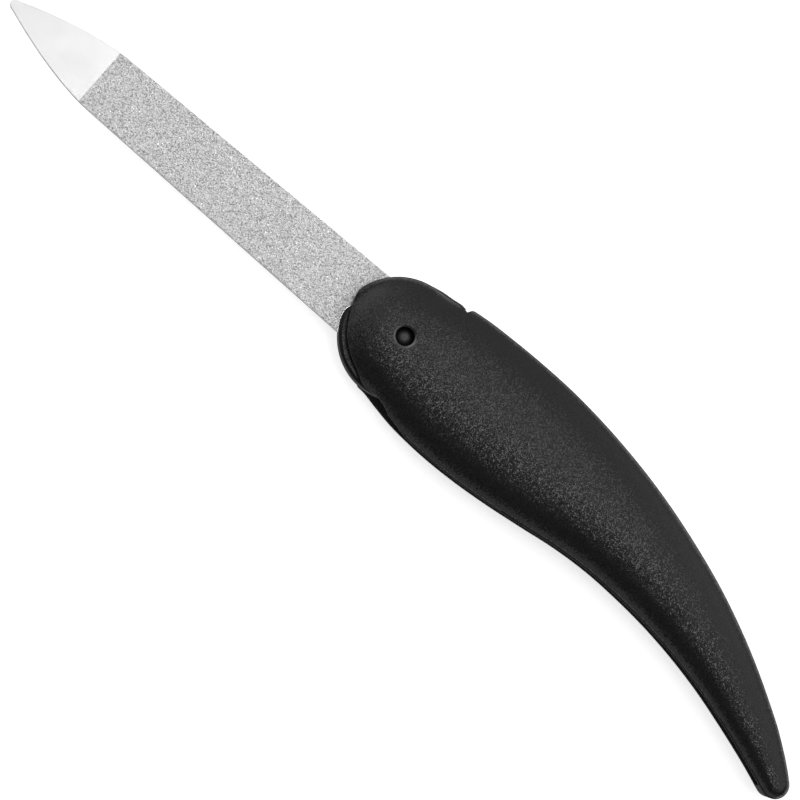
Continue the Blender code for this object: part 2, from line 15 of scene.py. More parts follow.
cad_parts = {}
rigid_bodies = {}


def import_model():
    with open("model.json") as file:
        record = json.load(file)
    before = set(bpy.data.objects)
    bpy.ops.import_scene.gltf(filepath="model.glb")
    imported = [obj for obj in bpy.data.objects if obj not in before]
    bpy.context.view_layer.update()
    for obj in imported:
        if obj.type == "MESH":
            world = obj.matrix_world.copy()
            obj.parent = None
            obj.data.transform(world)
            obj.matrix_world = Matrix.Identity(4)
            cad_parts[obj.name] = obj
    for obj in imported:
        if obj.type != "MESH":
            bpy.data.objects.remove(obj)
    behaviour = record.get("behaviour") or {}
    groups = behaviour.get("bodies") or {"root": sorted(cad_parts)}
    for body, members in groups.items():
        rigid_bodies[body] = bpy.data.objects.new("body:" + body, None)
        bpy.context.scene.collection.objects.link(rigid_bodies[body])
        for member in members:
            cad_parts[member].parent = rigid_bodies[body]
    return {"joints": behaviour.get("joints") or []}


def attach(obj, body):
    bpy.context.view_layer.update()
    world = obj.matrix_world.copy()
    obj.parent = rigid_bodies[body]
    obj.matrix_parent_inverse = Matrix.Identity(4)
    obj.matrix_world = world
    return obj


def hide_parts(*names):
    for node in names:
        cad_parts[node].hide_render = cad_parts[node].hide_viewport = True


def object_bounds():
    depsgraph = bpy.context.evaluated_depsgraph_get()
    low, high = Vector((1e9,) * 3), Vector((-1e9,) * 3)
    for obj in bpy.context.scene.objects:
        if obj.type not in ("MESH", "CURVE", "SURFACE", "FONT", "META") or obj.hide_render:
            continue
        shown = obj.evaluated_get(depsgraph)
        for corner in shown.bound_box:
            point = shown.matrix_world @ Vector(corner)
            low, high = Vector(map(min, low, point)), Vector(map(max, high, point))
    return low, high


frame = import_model()
cad_low, cad_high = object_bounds()

MM = 0.001
PIVOT = Vector(frame["joints"][0]["pos_m"])

# Photograph's camera, round the pivot
CAMERA_PLACE = Vector((18.09, 55.27, 504.5)) * MM
CAMERA_AIM = Vector((-5.60, 7.83, 4.5)) * MM
CAMERA_UP = Vector((0.6485, -0.7612, 0.0))
CAMERA_LENS = 150.8
CAMERA_SENSOR = 36.0
CAMERA_CLIP = (0.01, 10.0)

# Handle's outline, as the construction has it
HUB_RADIUS = 9.9 * MM
BLADE_REACH = 77.75 * MM
TAIL_LENGTH = 11.4 * MM
HANDLE_REACH = BLADE_REACH + TAIL_LENGTH
HANDLE_SWELL = 1.25 * MM
HANDLE_WIDTH = 2 * (HUB_RADIUS + HANDLE_SWELL)
HEAD_RADIUS = HUB_RADIUS
HEAD_CENTRE_SHARES = (0.013, 0.112)
HEAD_CENTRE = Vector(HEAD_CENTRE_SHARES) * HEAD_RADIUS
HEAD_LIP = 0.05 * MM
HEAD_SPINE_END = math.radians(-86.0)
HEAD_SPINE_START = math.radians(-8.0)
HEAD_OPEN_START = math.radians(3.0)
HEAD_OPEN_END = math.radians(88.0)
TAIL_RADIUS = 2.2 * MM
TAIL_START_ANGLE = math.radians(228.0)
TAIL_END_ANGLE = math.radians(72.0)
SPINE_SHARES = (
    (0.022, -0.406), (0.048, -0.432), (0.060, -0.446), (0.086, -0.460), (0.120, -0.470), (0.202, -0.479),
    (0.291, -0.470), (0.394, -0.425), (0.497, -0.348), (0.599, -0.237), (0.702, -0.092), (0.804, 0.096),
    (0.907, 0.332), (0.952, 0.458), (0.978, 0.541),
)
BELLY_SHARES = (
    (0.012, 0.449), (0.041, 0.473), (0.088, 0.504), (0.157, 0.519), (0.225, 0.511), (0.293, 0.486),
    (0.362, 0.449), (0.431, 0.409), (0.500, 0.390), (0.569, 0.396), (0.637, 0.417), (0.706, 0.457),
    (0.775, 0.515), (0.844, 0.592), (0.913, 0.679),
)
TAIL_HEIGHT_SHARE = 0.664

# Handle, across its thickness
SLOT_WIDTH = 3.0 * MM
HANDLE_THICKNESS = 9.0 * MM
TAIL_THICKNESS = 6.6 * MM
TAPER_START_SHARE = 0.45
CROWN_POWER = 2.2
EDGE_ROUND = 0.3 * MM
BROW_ROUND = 0.10 * MM
REST_LAND_DEPTH = 0.1 * MM

# Edges that cut into the covers
RIM_EDGE_SHARES = (
    (1.03, -16.0), (1.000, -10.5), (0.990, -5.5), (0.966, 1.5), (0.924, 9.0), (0.900, 18.0),
    (0.880, 28.0), (0.870, 40.0), (0.862, 54.0), (0.864, 66.0), (0.877, 75.0), (0.910, 82.0),
)
FRONT_RIM_END_SHARES = (
    (0.938, 86.0), (0.962, 91.0), (0.971, 97.0), (0.986, 103.5), (1.02, 109.0), (1.09, 114.0), (1.20, 119.0),
)
BACK_RIM_END_SHARES = ((0.945, 84.5), (0.985, 87.0), (1.03, 90.0), (1.15, 95.0))
HUB_TAIL_ANGLE = math.radians(244.6)
HUB_TAIL_RISE = 0.6 * MM
STOP_GAP = 0.08 * MM
NOTCH_LENGTH = 0.5 * MM
NOTCH_FLOOR_LIFT = 0.35 * MM
NOTCH_FRONT_SHARES = ((0.966, 261.0), (0.940, 257.6), (0.970, 252.5), (0.999, 248.0), (1.028, 244.8))
SHOULDER_HEIGHT = 1.0 * MM
SHOULDER_SHARES = ((0.00, 0.00), (0.02, 0.38), (0.06, 0.76), (0.17, 1.02), (0.36, 1.22), (0.75, 1.65))
RELIEF_DEPTH = 0.40 * MM
RELIEF_LENGTH = 15.0 * MM
RELIEF_PLACE_SHARE = 0.070
OVERRUN = 1.0 * MM

# Pin and its bores
PIN_RADIUS = 1.42 * MM
PIN_RECESS = 1.6 * MM
PIN_DOME_HEIGHT = 0.45 * MM
PIN_FLAT_RADIUS = 0.35 * MM
PIN_FIXED_GAP = 0.03 * MM
PIN_RUNNING_GAP = 0.06 * MM
PIVOT_MOUTH_WIDTH = 0.40 * MM
PIVOT_MOUTH_DEPTH = 0.12 * MM
PIVOT_MOUTH_CHAMFER = 0.05 * MM

# Hub
HUB_SIDE_GAP = 0.1 * MM
HUB_RIM_ROUND = 0.6 * MM
HUB_HEAD_INSET = 0.07 * MM
HUB_FLANK_START = math.radians(-66.0)
HUB_FLANK_END = math.radians(-16.0)
HUB_OPEN_START = math.radians(24.0)
HUB_CORNER_SHARES = ((0.950, 0.5), (0.922, 6.0), (0.945, 10.0), (0.978, 14.0), (0.996, 19.0))
HUB_TAIL_EDGE_SHARES = ((1.038, 249.6), (0.972, 258.3), (0.935, 268.5), (0.917, 275.7), (0.907, 282.5))
HUB_TAIL_ROUND = 0.2 * MM
HUB_TAIL_BLEND_SHARE = 0.3
POCKET_GAP = 0.05 * MM

# Spine between the covers
SEAM_GAP = 0.05 * MM
SPINE_WALL = 2.0 * MM
SEAT_GAP = 0.15 * MM
SEAT_SWEEP = math.radians(26.0)
SEAT_BLEND_SHARE = 0.165
SLOT_END_SHARE = 0.985
BOSS_RADIUS = 1.8 * MM
BOSS_SHARES = (0.17, 0.40, 0.61)
BLADE_SLOT_GAP = 0.25 * MM
FOLD_ANGLE = math.radians(174.5)

# Blade and its coats
BLADE_THICKNESS = 0.9 * MM
BLADE_ROOT_WIDTH = 11.7 * MM
BLADE_FRONT_WIDTH = 9.9 * MM
BLADE_EDGE_BREAK = 0.1 * MM
BARE_LENGTH = 17.5 * MM
POINT_LENGTH = 19.1 * MM
POINT_NOSE_RADIUS = 0.8 * MM
POINT_NOSE_TURN = math.radians(72.0)
POINT_POWER = 1.6
TANG_WIDTH = 8.6 * MM
TANG_END_SHARE = 0.25
TANG_SHOULDER = 5.2 * MM
TANG_BUSH_HOLE_RADIUS = 2.6 * MM
COAT_LIFT = 0.02 * MM
COAT_SIDE_MARGIN = 0.06 * MM
COAT_HUB_GAP = 0.05 * MM
COAT_BED = 0.03 * MM
COAT_THICKNESS = 0.12 * MM
GRIT_SPACING = 0.13 * MM
GRIT_JITTER_SHARE = 0.30
GRIT_CREST_POWER = 0.8
GRIT_FLOOR_SHARE = 0.25
FRONT_COAT_SEED = 11
BACK_COAT_SEED = 12

# How finely the meshes are cut
STATION_SPANS = ((0.0, 0.035, 10), (0.035, 0.085, 46), (0.085, 0.16, 26), (0.16, 1.0, 136))
HEAD_STEPS = 110
TAIL_STEPS = 28
CROWN_STEPS = 26
CROWN_STEP_POWER = 1.15
EDGE_ROUND_STEPS = 2
BROW_ROUND_STEPS = 3
BREAK_STEPS = 3
RELIEF_STEPS = 60
CURVE_STEPS = 12
ROUND_STEPS = 96
FLANK_STEPS = 60
CORNER_STEPS = 8
HUB_STEPS = 220
POINT_STEPS = 40
ROUNDING_STEPS = 7
SMOOTH_ANGLE = math.radians(36.0)
FLAT_FACE_COSINE = 0.9999
PARALLEL_LIMIT = 1e-15
CROSSING_START_SHARE = 0.3
ORIGIN = Vector((0.0, 0.0))

# Finishes: colours are linear greys. A ramp is a row of places and values, a noise has its size,
# detail and roughness, and a bump has its strength and its height.
PLASTIC_STOPS = (0.1, 0.9)
PLASTIC_GLOSS_SPREAD = (-0.04, 0.06)
HANDLE_BLACK = {"dark": 0.003, "light": 0.009, "roughness": 0.26, "grain": 0.16 * MM,
                "lean": 0.24, "specular": 0.36}
HUB_BLACK = {"dark": 0.003, "light": 0.006, "roughness": 0.24, "grain": 0.15 * MM,
             "lean": 0.12, "specular": 0.20}
RUBBED_BLACK = {"dark": 0.003, "light": 0.009, "roughness": 0.20, "grain": 0.16 * MM,
                "lean": 0.06, "specular": 1.0}
LIP_REACH = 2.4 * MM
LIP_SLOPES = (0.9, 0.98)
# Painted shade: faces of the handle and the hub that stand on edge get a dark, nearly unreflecting finish,
# so the slot's open side renders black. HANDLE_EDGE_SLOPES and HUB_EDGE_SLOPES say which faces take it.
PAINTED_SHADE_EDGE = {"dark": 0.004, "light": 0.007, "metallic": 0.0, "specular": 0.04}
# Painted shade: the blade's side faces are coloured dark where polished steel would mirror its surroundings.
# STEEL_EDGE_SLOPES says which faces take it.
STEEL_SIDE_PAINTED_SHADE = {"dark": 0.04, "light": 0.07, "metallic": 0.3, "specular": 0.05}
EDGE_GRAIN = (0.2 * MM, 3.0)
EDGE_STOPS = (0.35, 0.65)
EDGE_ROUGHNESS = 0.6
EDGE_BUMP = (0.2, 0.01 * MM)
HANDLE_EDGE_SLOPES = (0.15, 0.6)
HUB_EDGE_SLOPES = (0.15, 0.3)
STEEL_EDGE_SLOPES = (0.6, 0.6)
STEEL_STRETCH = (0.06, 1.0, 1.0)
STEEL_LINES = (0.12 * MM, 3.0, 0.6)
STEEL_CLOUDS = (6.0 * MM, 2.0)
STEEL_COLOURS = ((0.3, 0.88), (0.7, 0.94))
STEEL_GLOSS = ((0.3, 0.16), (0.7, 0.26))
STEEL_BUMP = (0.06, 0.01 * MM)
GRIT_CELL = 0.13 * MM
GRIT_COLOURS = ((0.0, 0.20), (0.28, 0.58), (0.68, 0.86), (1.0, 1.0))
GRIT_GLOSS = ((0.0, 0.15), (1.0, 0.6))
GRIT_METALLIC = 0.35
GRIT_BUMP = (0.45, 0.02 * MM)
PIN_GRAIN = (0.1 * MM, 3.0)
PIN_COLOURS = ((0.3, 0.012), (0.7, 0.03))
PIN_GLOSS = ((0.3, 0.28), (0.7, 0.42))
PIN_METALLIC = 0.4

# Floor, world and lamps. Each lamp has its tilts from overhead towards +X and +Y, its widths along
# X and Y, all in degrees as seen from the pivot, and its radiance.
FLOOR_GREY = 0.85
FLOOR_ROUGHNESS = 0.9
STAGE_LIFT = 0.65
STAGE_HALF = 3.0
FLOOR_GAP = 0.02 * MM
LAMP_DISTANCE = 1.2
WORLD_LEVEL = 0.10
LAMPS = (
    ("overhead", -4.8, -8.0, 9.0, 12.0, 7.8),
    ("blade_side", 12.0, -10.0, 24.0, 24.0, 0.10),
    ("far_side", 0.0, -41.0, 110.0, 90.0, 0.62),
    ("point_end", 45.0, -10.0, 40.0, 60.0, 0.9),
    ("tail_end", -38.0, -28.0, 26.0, 76.0, 0.6),
    ("slot_side", 0.0, 66.0, 90.0, 26.0, 0.8),
)


def polar(radius, angle, centre=ORIGIN):
    return centre + Vector((math.cos(angle), math.sin(angle))) * radius


def arc(radius, start, end, steps, centre=ORIGIN):
    return [polar(radius, start + (end - start) * i / steps, centre) for i in range(steps + 1)]


def quarter_turn(steps):
    """The cosine and sine at each step from nought to a right angle."""
    turns = [math.pi / 2 * i / steps for i in range(steps + 1)]
    return [(math.cos(turn), math.sin(turn)) for turn in turns]


def smooth_through(points, steps=CURVE_STEPS):
    """A curve through the points, its tangents set by the neighbours."""
    tangents = []
    for i, point in enumerate(points):
        before = points[max(i - 1, 0)]
        after = points[min(i + 1, len(points) - 1)]
        tangents.append((after - before).normalized())
    curve = [points[0]]
    for i in range(len(points) - 1):
        handle = (points[i + 1] - points[i]).length / 3
        bends = interpolate_bezier(points[i], points[i] + tangents[i] * handle,
                                   points[i + 1] - tangents[i + 1] * handle, points[i + 1], steps)
        curve += [Vector(bend[:2]) for bend in bends[1:]]
    return curve


def running_shares(points):
    lengths = [0.0]
    for before, after in zip(points, points[1:]):
        lengths.append(lengths[-1] + (after - before).length)
    return [length / lengths[-1] for length in lengths]


def sample(points, shares):
    """The points that lie at the given shares of the line's length."""
    along = running_shares(points)
    picked = []
    i = 0
    for share in shares:
        while i < len(points) - 2 and along[i + 1] < share:
            i += 1
        part = (share - along[i]) / (along[i + 1] - along[i])
        picked.append(points[i].lerp(points[i + 1], part))
    return picked


def place(share_pair):
    return Vector((-share_pair[0] * HANDLE_REACH, share_pair[1] * HANDLE_WIDTH))


def tail_centre():
    return Vector((TAIL_RADIUS - HANDLE_REACH, TAIL_HEIGHT_SHARE * HANDLE_WIDTH))


def spine_side():
    head = polar(HEAD_RADIUS, HEAD_SPINE_END, HEAD_CENTRE)
    tail = polar(TAIL_RADIUS, TAIL_START_ANGLE, tail_centre())
    return smooth_through([head] + [place(pair) for pair in SPINE_SHARES] + [tail])


def belly_side():
    head = polar(HUB_RADIUS + HEAD_LIP, HEAD_OPEN_END)
    tail = polar(TAIL_RADIUS, TAIL_END_ANGLE, tail_centre())
    return smooth_through([head] + [place(pair) for pair in BELLY_SHARES] + [tail])


def station_shares():
    """Stations along the sides, closest together round the notch."""
    shares = [0.0]
    for start, end, count in STATION_SPANS:
        shares += [start + (end - start) * (i + 1) / count for i in range(count)]
    return shares


def crossing(foot, point, line):
    """How far from the foot towards the point the line crosses, or 1."""
    ray = point - foot
    nearest = 1.0
    for a, b in zip(line, line[1:]):
        run = b - a
        across = ray.x * run.y - ray.y * run.x
        if abs(across) < PARALLEL_LIMIT:
            continue
        to_a = a - foot
        along_ray = (to_a.x * run.y - to_a.y * run.x) / across
        along_run = (to_a.x * ray.y - to_a.y * ray.x) / across
        if CROSSING_START_SHARE < along_ray < nearest and 0.0 <= along_run <= 1.0:
            nearest = along_ray
    return nearest


class Outline:
    """The handle's outline, with the foot on its middle line that each point leans to."""

    def __init__(self):
        self.shares = station_shares()
        self.spine = sample(spine_side(), self.shares)
        self.belly = sample(belly_side(), self.shares)
        self.middle = [a.lerp(b, 0.5) for a, b in zip(self.spine, self.belly)]
        self.tail = arc(TAIL_RADIUS, TAIL_START_ANGLE, TAIL_END_ANGLE, TAIL_STEPS, tail_centre())
        last = len(self.shares) - 1
        open_part = arc(HUB_RADIUS + HEAD_LIP, HEAD_OPEN_END, HEAD_OPEN_START, HEAD_STEPS)
        spine_part = arc(HEAD_RADIUS, HEAD_SPINE_START, HEAD_SPINE_END, HEAD_STEPS, HEAD_CENTRE)
        head = (open_part + spine_part)[1:-1]
        self.points = self.spine + self.tail[1:-1] + self.belly[::-1] + head
        self.feet = (list(range(last + 1)) + [last] * (len(self.tail) - 2)
                     + list(range(last, -1, -1)) + [0] * len(head))

    def index_at(self, share):
        return min(range(len(self.shares)), key=lambda i: abs(self.shares[i] - share))

    def square_to(self, side, i):
        run = (side[min(i + 1, len(side) - 1)] - side[max(i - 1, 0)]).normalized()
        return Vector((run.y, -run.x))


def half_thickness(share):
    part = max(share - TAPER_START_SHARE, 0.0) / (1.0 - TAPER_START_SHARE)
    ease = part * part * (3.0 - 2.0 * part)
    return (HANDLE_THICKNESS + (TAIL_THICKNESS - HANDLE_THICKNESS) * ease) / 2


def on_hub(shares):
    """Points round the hub, from their shares of its radius and their angles in degrees."""
    return [polar(share * HUB_RADIUS, math.radians(degrees)) for share, degrees in shares]


def rim_edge(end_shares):
    return smooth_through(on_hub(RIM_EDGE_SHARES + end_shares))


def notch_edge():
    outward = polar(1.0, HUB_TAIL_ANGLE)
    backward = Vector((outward.y, -outward.x))
    foot = outward * (HUB_RADIUS + NOTCH_FLOOR_LIFT) + backward * NOTCH_LENGTH
    shoulder = [foot + (backward * along + outward * up) * SHOULDER_HEIGHT for along, up in SHOULDER_SHARES]
    return smooth_through(on_hub(NOTCH_FRONT_SHARES)) + [foot] + smooth_through(shoulder[1:])


def notch_mesh():
    edge = notch_edge()
    outward = polar(OVERRUN, HUB_TAIL_ANGLE)
    shape = edge + [edge[-1] + outward, edge[0] + outward * 2]
    return prism_mesh("notch", shape, -HANDLE_THICKNESS, HANDLE_THICKNESS)


def relief_edge(outline):
    radius = RELIEF_LENGTH ** 2 / (8.0 * RELIEF_DEPTH)
    i = outline.index_at(RELIEF_PLACE_SHARE)
    outward = outline.square_to(outline.belly, i)
    centre = outline.belly[i] + outward * (radius - RELIEF_DEPTH)
    facing = math.atan2(-outward.y, -outward.x)
    half_angle = RELIEF_LENGTH / radius
    return arc(radius, facing - half_angle, facing + half_angle, RELIEF_STEPS, centre)


def link_object(name, mesh, body, node, material):
    """Place a finished mesh, let it ride on its body and stand for its node."""
    mesh.name = name
    mesh.materials.clear()
    mesh.materials.append(material)
    item = bpy.data.objects.new(name, mesh)
    bpy.context.scene.collection.objects.link(item)
    item.location = PIVOT
    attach(item, body)
    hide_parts(node)


def mesh_from(name, build):
    bmesh.ops.recalc_face_normals(build, faces=build.faces)
    mesh = bpy.data.meshes.new(name)
    build.to_mesh(mesh)
    build.free()
    return mesh


def bridge(build, rings):
    """Faces from each ring to the next; a ring may be one point or repeat its points."""
    for lower, upper in zip(rings, rings[1:]):
        count = max(len(lower), len(upper))
        for i in range(count):
            j = (i + 1) % count
            corners = [ring[k % len(ring)] for ring, k in ((lower, i), (lower, j), (upper, j), (upper, i))]
            build.faces.new(list(dict.fromkeys(corners)))


def turned_mesh(name, profile):
    """A solid of revolution round the pivot; the profile runs from axis to axis."""
    build = bmesh.new()
    rings = []
    for radius, height in profile:
        if radius == 0.0:
            rings.append([build.verts.new((0.0, 0.0, height))])
            continue
        circle = arc(radius, 0.0, math.tau, ROUND_STEPS)[:-1]
        rings.append([build.verts.new((point.x, point.y, height)) for point in circle])
    bridge(build, rings)
    return mesh_from(name, build)


def prism_mesh(name, outline, low, high):
    build = bmesh.new()
    floor = [build.verts.new((point.x, point.y, low)) for point in outline]
    roof = [build.verts.new((point.x, point.y, high)) for point in outline]
    bridge(build, [floor, roof])
    build.faces.new(floor)
    build.faces.new(roof)
    return mesh_from(name, build)


def rod_mesh(name, centre, radius, low, high):
    return prism_mesh(name, arc(radius, 0.0, math.tau, ROUND_STEPS, centre)[:-1], low, high)


def inset(outline, lengths):
    """The anticlockwise outline moved inwards, by its own length at each point."""
    moved = []
    for i, point in enumerate(outline):
        before = (point - outline[i - 1]).normalized()
        after = (outline[(i + 1) % len(outline)] - point).normalized()
        lean = Vector((-before.y - after.y, before.x + after.x))
        moved.append(point + lean * lengths[i] / (1.0 + before.dot(after)))
    return moved


def rounded_plate(name, outline, half, rounds, steps):
    """A plate whose rims are rounded, by its own length at each point."""
    turns = quarter_turn(steps)
    levels = [(1.0 - cosine, 1.0 - sine, -1.0) for cosine, sine in reversed(turns)]
    levels += [(1.0 - cosine, 1.0 - sine, 1.0) for cosine, sine in turns]
    build = bmesh.new()
    rings = []
    for lean, drop, side in levels:
        flat = inset(outline, [lean * length for length in rounds])
        rings.append([build.verts.new((point.x, point.y, side * (half - drop * length)))
                      for point, length in zip(flat, rounds)])
    bridge(build, rings)
    build.faces.new(rings[0])
    build.faces.new(rings[-1])
    return mesh_from(name, build)


def shaped(mesh, steps, flat_faces=False):
    """The mesh cut by and joined with the given tools, shaded smooth apart from its edges."""
    item = bpy.data.objects.new("shaping", mesh)
    bpy.context.scene.collection.objects.link(item)
    tools = []
    for operation, tool_mesh in steps:
        tool = bpy.data.objects.new("tool", tool_mesh)
        bpy.context.scene.collection.objects.link(tool)
        tools.append(tool)
        boolean = item.modifiers.new("shape", "BOOLEAN")
        boolean.operation = operation
        boolean.solver = "EXACT"
        boolean.object = tool
    bpy.context.view_layer.update()
    evaluated = item.evaluated_get(bpy.context.evaluated_depsgraph_get())
    result = bpy.data.meshes.new_from_object(evaluated)
    for extra in [item] + tools:
        bpy.data.objects.remove(extra)
    result.shade_smooth()
    result.set_sharp_from_angle(angle=SMOOTH_ANGLE)
    for face in result.polygons:
        if flat_faces and abs(face.normal.z) > FLAT_FACE_COSINE:
            face.use_smooth = False
    return result


def crown_height(lean, half):
    """Height of the smooth crown at a share of the way from the outline to the middle line."""
    shoulder = SLOT_WIDTH / 2 + EDGE_ROUND
    fill = max(1.0 - (1.0 - lean) ** CROWN_POWER, 0.0) ** (1.0 / CROWN_POWER)
    return shoulder + (half - shoulder) * fill


def cover_mesh(name, outline, face, land_depth, edges):
    """A cover with its edges set back where the given lines cut it, each brow rounded."""
    inner = SLOT_WIDTH / 2
    limit = HANDLE_THICKNESS / 2 - land_depth
    build = bmesh.new()
    columns = []
    ridge = []
    for middle, share in zip(outline.middle, outline.shares):
        height = min(half_thickness(share), limit)
        ridge.append(build.verts.new((middle.x, middle.y, face * height)))
    for point, foot in zip(outline.points, outline.feet):
        middle = outline.middle[foot]
        half = half_thickness(outline.shares[foot])
        reach = (point - middle).length
        start = 1.0 - min(crossing(middle, point, edge) for edge in edges)
        profile = []
        for cosine, sine in quarter_turn(EDGE_ROUND_STEPS):
            lean = start + EDGE_ROUND * (1.0 - sine) / reach
            profile.append((lean, inner + EDGE_ROUND * (1.0 - cosine)))
        brow = start + BROW_ROUND / reach
        brow_height = crown_height(brow, half)
        for cosine, sine in quarter_turn(BROW_ROUND_STEPS):
            lean = start + BROW_ROUND * (1.0 - cosine) / reach
            profile.append((lean, brow_height - BROW_ROUND * (1.0 - sine)))
        for step in range(1, CROWN_STEPS):
            turn = math.pi / 2 * step / CROWN_STEPS
            lean = brow + (1.0 - brow) * (1.0 - math.cos(turn) ** CROWN_STEP_POWER)
            profile.append((lean, crown_height(lean, half)))
        column = []
        for lean, height in profile:
            flat = point.lerp(middle, lean)
            column.append(build.verts.new((flat.x, flat.y, face * min(height, limit))))
        columns.append(column + [ridge[foot]])
    count = len(columns)
    for i in range(count):
        left, right = columns[i], columns[(i + 1) % count]
        for k in range(len(left) - 1):
            build.faces.new(list(dict.fromkeys([left[k], right[k], right[k + 1], left[k + 1]])))
    build.faces.new([column[0] for column in columns])
    return mesh_from(name, build)


def bore_mesh(face):
    """The pin's bore, with a shallow dish round its mouth that runs out past the surface."""
    bore = PIN_RADIUS + PIN_FIXED_GAP
    lip = bore + PIVOT_MOUTH_CHAMFER
    top = HANDLE_THICKNESS / 2
    low = top - PIVOT_MOUTH_DEPTH
    far = lip + 2 * PIVOT_MOUTH_WIDTH
    profile = [(0.0, 0.0), (bore, 0.0), (bore, low - PIVOT_MOUTH_CHAMFER), (lip, low)]
    profile += [(far, low + 2 * PIVOT_MOUTH_DEPTH), (far, HANDLE_THICKNESS), (0.0, HANDLE_THICKNESS)]
    return turned_mesh("bore", [(radius, face * height) for radius, height in profile])


def make_cover(name, node, outline, face, land_depth, edges, material):
    mesh = cover_mesh(name, outline, face, land_depth, edges)
    mesh = shaped(mesh, [("DIFFERENCE", bore_mesh(face))])
    link_object(name, mesh, "handle", node, material)


def blade_half_width(x):
    """Half the blade's width between its shoulder and the centre of its nose."""
    root, front = BLADE_ROOT_WIDTH / 2, BLADE_FRONT_WIDTH / 2
    taper_x = BLADE_REACH - POINT_LENGTH
    if x < taper_x:
        return root + (front - root) * (x - TANG_SHOULDER) / (taper_x - TANG_SHOULDER)
    share = (x - taper_x) / (POINT_LENGTH - POINT_NOSE_RADIUS)
    return POINT_NOSE_RADIUS + (front - POINT_NOSE_RADIUS) * (1.0 - share ** POINT_POWER)


def blade_outline(extra=0.0):
    """The blade with its tang, grown by the given length all round."""
    tang = TANG_WIDTH / 2 + extra
    nose_centre = Vector((BLADE_REACH - POINT_NOSE_RADIUS, 0.0))
    shoulder = TANG_SHOULDER - extra
    upper = [Vector((shoulder, blade_half_width(shoulder) + extra))]
    for i in range(POINT_STEPS + 1):
        x = nose_centre.x - (POINT_LENGTH - POINT_NOSE_RADIUS) * (1.0 - i / POINT_STEPS)
        upper.append(Vector((x, blade_half_width(x) + extra)))
    nose_arc = arc(POINT_NOSE_RADIUS + extra, POINT_NOSE_TURN, -POINT_NOSE_TURN, CURVE_STEPS, nose_centre)
    lower = [Vector((point.x, -point.y)) for point in reversed(upper[:-1])]
    end = arc(tang, math.pi * 3 / 2, math.pi / 2, POINT_STEPS, Vector((-tang * TANG_END_SHARE, 0.0)))
    return ([Vector((shoulder, tang))] + upper[:-1] + nose_arc + lower
            + [Vector((shoulder, -tang))] + end)


def make_blade(material):
    outline = blade_outline()[::-1]
    rounds = [BLADE_EDGE_BREAK] * len(outline)
    mesh = rounded_plate("steel", outline, BLADE_THICKNESS / 2, rounds, BREAK_STEPS)
    hole = rod_mesh("hole", ORIGIN, TANG_BUSH_HOLE_RADIUS, -BLADE_THICKNESS, BLADE_THICKNESS)
    mesh = shaped(mesh, [("DIFFERENCE", hole)], True)
    link_object("steel_blade", mesh, "blade", "file_blade", material)


def hub_tail():
    return polar(HUB_RADIUS + HUB_TAIL_RISE, HUB_TAIL_ANGLE)


def hub_outline(gap=0.0):
    """A round hub: its flank follows the head, a corner starts its free rim, its tail is the stop."""
    head_radius = HEAD_RADIUS - HUB_HEAD_INSET + gap
    flank = arc(head_radius, HUB_FLANK_START, HUB_FLANK_END, FLANK_STEPS, HEAD_CENTRE)
    body = arc(HUB_RADIUS + gap, HUB_OPEN_START, HUB_TAIL_ANGLE, HUB_STEPS)
    corner = [polar(share * HUB_RADIUS + gap, math.radians(degrees)) for share, degrees in HUB_CORNER_SHARES]
    front = smooth_through([flank[-1]] + corner + [body[0]], CORNER_STEPS)
    tail = smooth_through([hub_tail()] + on_hub(HUB_TAIL_EDGE_SHARES) + [flank[0]], CORNER_STEPS)
    return flank + front[1:-1] + body + tail[:-1]


def make_hub(material):
    half = SLOT_WIDTH / 2 - HUB_SIDE_GAP
    pocket_half = BLADE_THICKNESS / 2 + POCKET_GAP
    outline = hub_outline()
    rounds = [min(HUB_RIM_ROUND, HUB_TAIL_ROUND + (point - hub_tail()).length * HUB_TAIL_BLEND_SHARE)
              for point in outline]
    mesh = rounded_plate("hub", outline, half, rounds, ROUNDING_STEPS)
    pocket = prism_mesh("pocket", blade_outline(POCKET_GAP), -pocket_half, pocket_half)
    core = (half + pocket_half) / 2
    bush = rod_mesh("bush", ORIGIN, TANG_BUSH_HOLE_RADIUS - POCKET_GAP, -core, core)
    bore = rod_mesh("bore", ORIGIN, PIN_RADIUS + PIN_RUNNING_GAP, -SLOT_WIDTH, SLOT_WIDTH)
    mesh = shaped(mesh, [("DIFFERENCE", pocket), ("UNION", bush), ("DIFFERENCE", bore)], True)
    link_object("hub_moulding", mesh, "blade", "blade_hub", material)


def make_pin(material):
    """A plain pin with domed ends, sunk below both covers."""
    end = HANDLE_THICKNESS / 2 - PIN_RECESS
    dome = []
    for cosine, sine in quarter_turn(CURVE_STEPS):
        radius = PIN_FLAT_RADIUS + (PIN_RADIUS - PIN_FLAT_RADIUS) * cosine
        dome.append((radius, end - PIN_DOME_HEIGHT * (1.0 - sine)))
    low = [(radius, -height) for radius, height in reversed(dome)]
    mesh = shaped(turned_mesh("pin", [(0.0, -end)] + low + dome + [(0.0, end)]), [])
    link_object("pin_blackened", mesh, "handle", "pivot_pin", material)


